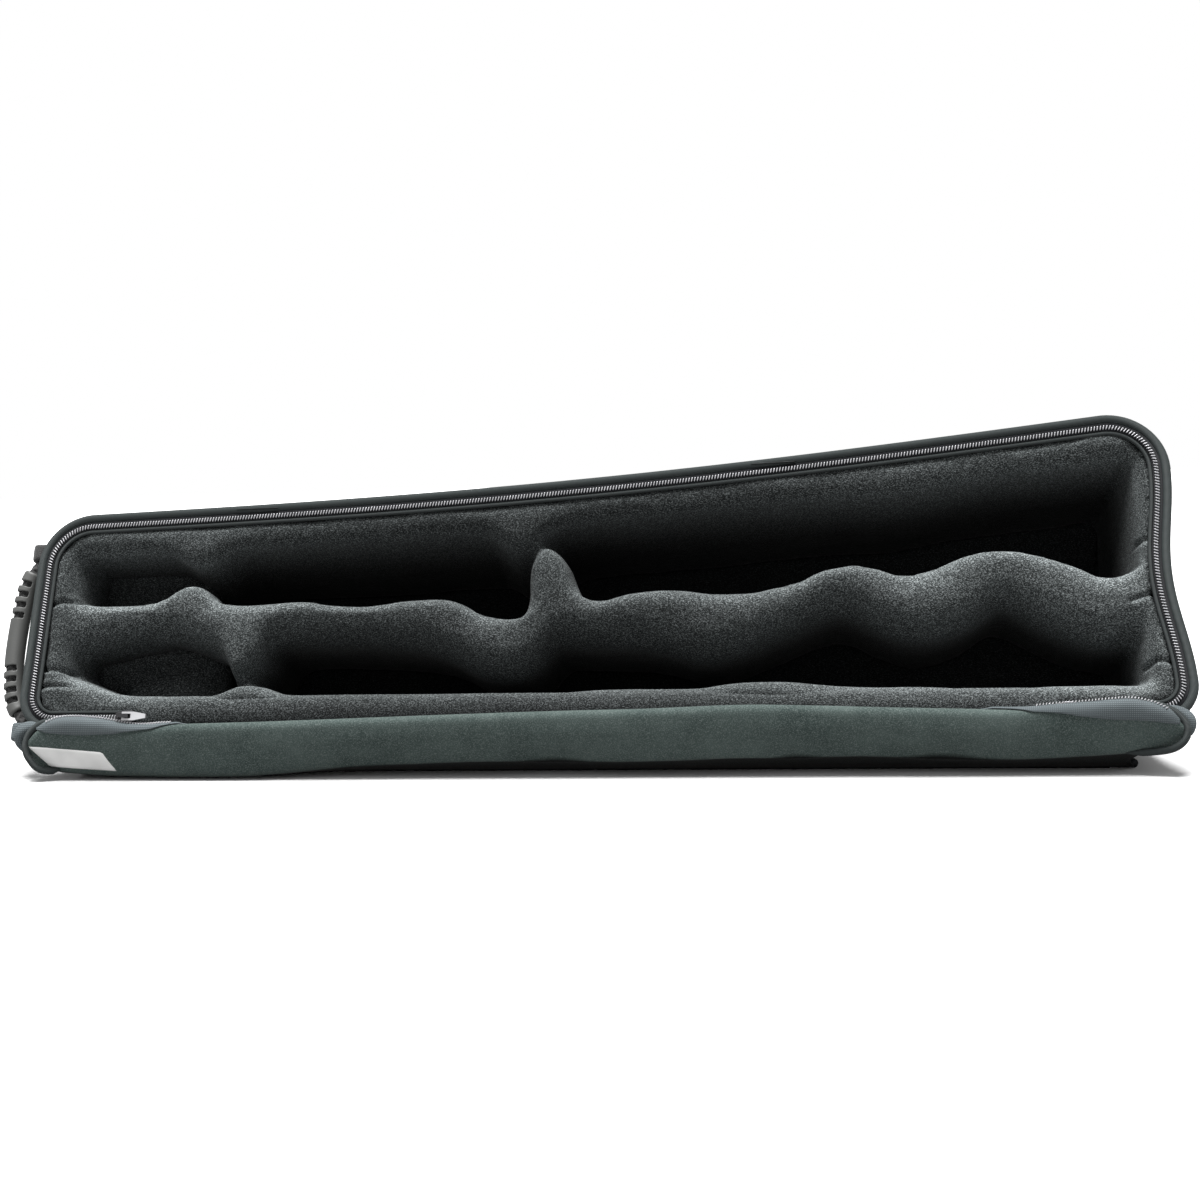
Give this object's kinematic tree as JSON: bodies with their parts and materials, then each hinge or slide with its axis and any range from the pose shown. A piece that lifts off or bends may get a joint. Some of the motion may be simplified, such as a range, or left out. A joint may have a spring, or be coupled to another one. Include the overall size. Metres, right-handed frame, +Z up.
{
  "type": "soprano saxophone case",
  "caption": "Long tapered zipped case with a shaped fleece insert for a one-piece soprano saxophone, standing open on its hinge side with the soft lid folded back under it",
  "frame": {"origin": "centre of the footprint, on the surface that the case stands on", "axes": "+X along the case from the neck end to the bell end, +Z up, and the opening faces -Y, leaning back by 22 degrees"},
  "size_m": [0.7572, 0.1892, 0.2149],
  "materials": {
    "fleece": "brushed fleece over foam",
    "cover": "woven cover over a moulded foam shell",
    "suede": "short brushed lining",
    "tape": "smooth woven tape",
    "coil": "glossy nylon coil",
    "steel": "polished",
    "rubber": "matte moulded",
    "cordage": "braided",
    "plate": "plain white patch"
  },
  "bodies": {
    "tray": {"tray_back_board": "cover", "tray_wall_neck": "cover", "tray_wall_bell": "cover", "tray_wall_far": "cover", "tray_wall_hinge": "cover", "rim_piping": "cover", "hinge_roll": "cover", "tray_zip_tape": "tape", "tray_zip_chain": "coil", "rim_binding": "tape", "floor_pad": "fleece", "neck_end_pad": "fleece", "bell_end_pad": "fleece", "far_wall_pad_1": "fleece", "far_wall_pad_2": "fleece", "far_wall_pad_3": "fleece", "far_wall_pad_4": "fleece", "far_wall_pad_5": "fleece", "hinge_wall_pad_1": "fleece", "hinge_wall_pad_2": "fleece", "hinge_wall_pad_3": "fleece", "divider_pad_1": "fleece", "divider_pad_2": "fleece", "divider_pad_3": "fleece", "divider_pad_4": "fleece", "divider_pad_5": "fleece", "divider_pad_6": "fleece", "divider_pad_7": "fleece", "upper_pocket_floor": "fleece", "lower_pocket_floor": "fleece", "handle_sleeve_far": "cover", "handle_sleeve_hinge": "cover", "strap_tab_neck": "cover", "strap_tab_bell": "cover"},
    "lid_flap": {"lid_flap_cloth": "cover", "flap_lining": "suede", "flap_zip_chain_neck": "coil", "flap_zip_chain_bell": "coil", "flap_tape_neck": "tape", "flap_tape_bell": "tape", "label_plate": "plate"},
    "lid_panel": {"lid_panel_shell": "cover", "lid_panel_pad": "suede", "lid_piping": "cover", "lid_zip_tape": "tape", "lid_zip_chain": "coil"},
    "handle": {"handle_rope": "cordage", "handle_grip": "rubber"},
    "slider_neck": {"slider_body_neck": "steel"},
    "slider_bell": {"slider_body_bell": "steel"},
    "pull_neck": {"pull_tab_neck": "steel"},
    "pull_bell": {"pull_tab_bell": "steel"},
    "ring_neck": {"strap_ring_neck": "steel"},
    "ring_bell": {"strap_ring_bell": "steel"}
  },
  "joints": [
    {"name": "lid_hinge", "type": "hinge", "parent": "tray", "child": "lid_flap", "pos_m": [0.01016, -0.09238, 0.03189], "axis": [1, 0, 0], "range_deg": [-248, 0]},
    {"name": "lid_fold", "type": "hinge", "parent": "lid_flap", "child": "lid_panel", "pos_m": [0.01016, -0.06091, 0.0015], "axis": [1, 0, 0], "range_deg": [-44, 0]},
    {"name": "handle_swing", "type": "hinge", "parent": "tray", "child": "handle", "pos_m": [-0.36084, -0.04993, 0.09024], "axis": [0, 0.3746, 0.9272], "range_deg": [-40, 40]},
    {"name": "slider_neck_slide", "type": "slide", "parent": "tray", "child": "slider_neck", "axis": [-1, 0, 0], "range_m": [0, 0.01]},
    {"name": "slider_bell_slide", "type": "slide", "parent": "tray", "child": "slider_bell", "axis": [1, 0, 0], "range_m": [0, 0.01]},
    {"name": "pull_neck_swing", "type": "hinge", "parent": "slider_neck", "child": "pull_neck", "pos_m": [-0.28384, -0.09202, 0.04253], "axis": [0, -0.3746, -0.9272], "range_deg": [0, 170]},
    {"name": "pull_bell_swing", "type": "hinge", "parent": "slider_bell", "child": "pull_bell", "pos_m": [0.30416, -0.09202, 0.04253], "axis": [0, 0.3746, 0.9272], "range_deg": [0, 170]},
    {"name": "ring_neck_swing", "type": "hinge", "parent": "tray", "child": "ring_neck", "pos_m": [-0.209, -0.00453, 0.16018], "axis": [0.9992, 0.0154, 0.0381], "range_deg": [0, 110]},
    {"name": "ring_bell_swing", "type": "hinge", "parent": "tray", "child": "ring_bell", "pos_m": [0.12901, 0.004, 0.18129], "axis": [0.995, 0.0373, 0.0923], "range_deg": [0, 110]}
  ],
  "couplings": [
    {"joint": "lid_fold", "follows": "lid_hinge", "ratio": 0.17742}
  ]
}
